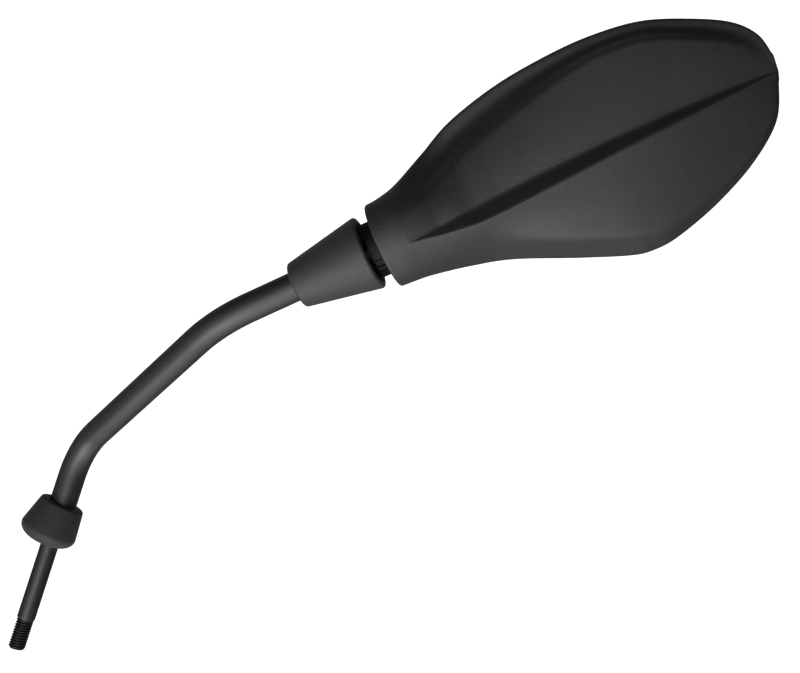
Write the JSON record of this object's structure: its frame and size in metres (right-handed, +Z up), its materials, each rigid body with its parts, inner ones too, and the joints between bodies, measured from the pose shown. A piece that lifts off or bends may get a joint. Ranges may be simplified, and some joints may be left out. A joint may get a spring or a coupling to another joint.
{
  "type": "motorcycle mirror",
  "caption": "Motorcycle rear-view mirror: moulded teardrop head with a creased back and convex glass, on a ball joint, a rubber collar and a bent tubular stem with a threaded foot and a boot.",
  "frame": {"origin": "on the foot's axis, where its thread meets the plain rod", "axes": "+Z up, +X towards the tip of the head, -Y to the front of the machine; the glass looks along +Y"},
  "size_m": [0.3424, 0.1097, 0.2807],
  "materials": {
    "black_rod": "black oxide, thread bare of paint",
    "black_paint": "satin black powder coat",
    "spring_steel": "oiled spring steel",
    "plated_steel": "bright zinc",
    "boot_rubber": "matte moulded rubber",
    "collar_rubber": "fine grained moulded rubber",
    "liner_plastic": "natural low friction plastic",
    "cup_plastic": "natural plastic",
    "nut_plastic": "black moulded plastic",
    "housing_plastic": "dark grey grained moulding",
    "plate_plastic": "dark grey moulding",
    "screw_steel": "zinc plated",
    "pad_foam": "black foam tape",
    "mirror_face": "silvered convex glass"
  },
  "bodies": {
    "stem": {"base_rod": "black_rod", "rod_pin": "spring_steel", "stem_tube": "black_paint", "ball_pin": "spring_steel", "ball_stud": "plated_steel"},
    "boot": {"base_boot": "boot_rubber"},
    "collar": {"collar_cone": "collar_rubber"},
    "liner": {"ball_liner": "liner_plastic"},
    "ball_seat": {"front_cup": "cup_plastic", "rear_cup": "cup_plastic", "thrust_washer": "plated_steel", "disc_spring_1": "spring_steel", "disc_spring_2": "spring_steel"},
    "head": {"retaining_nut": "nut_plastic", "rear_housing": "housing_plastic", "backing_plate": "plate_plastic", "carrier_screw_1": "screw_steel", "carrier_screw_2": "screw_steel", "carrier_screw_3": "screw_steel", "carrier_screw_4": "screw_steel", "glass_pad": "pad_foam", "mirror_glass": "mirror_face"}
  },
  "joints": [
    {"name": "boot_slide", "type": "slide", "parent": "stem", "child": "boot", "axis": [-0.2917, -0.0698, -0.954], "range_m": [0, 0.025]},
    {"name": "collar_slide", "type": "slide", "parent": "stem", "child": "collar", "axis": [-0.9035, 0.1478, -0.4023], "range_m": [0, 0.018]},
    {"name": "head_lift", "type": "hinge", "parent": "stem", "child": "liner", "pos_m": [0.18558, -0.06599, 0.17894], "axis": [-0.135, -0.989, -0.0601], "range_deg": [-10, 10]},
    {"name": "head_pan", "type": "hinge", "parent": "liner", "child": "ball_seat", "pos_m": [0.18558, -0.06599, 0.17894], "axis": [-0.4067, 0, 0.9135], "range_deg": [-10, 10]},
    {"name": "head_twist", "type": "hinge", "parent": "ball_seat", "child": "head", "pos_m": [0.18558, -0.06599, 0.17894], "axis": [0.9035, -0.1478, 0.4023], "continuous": true}
  ]
}
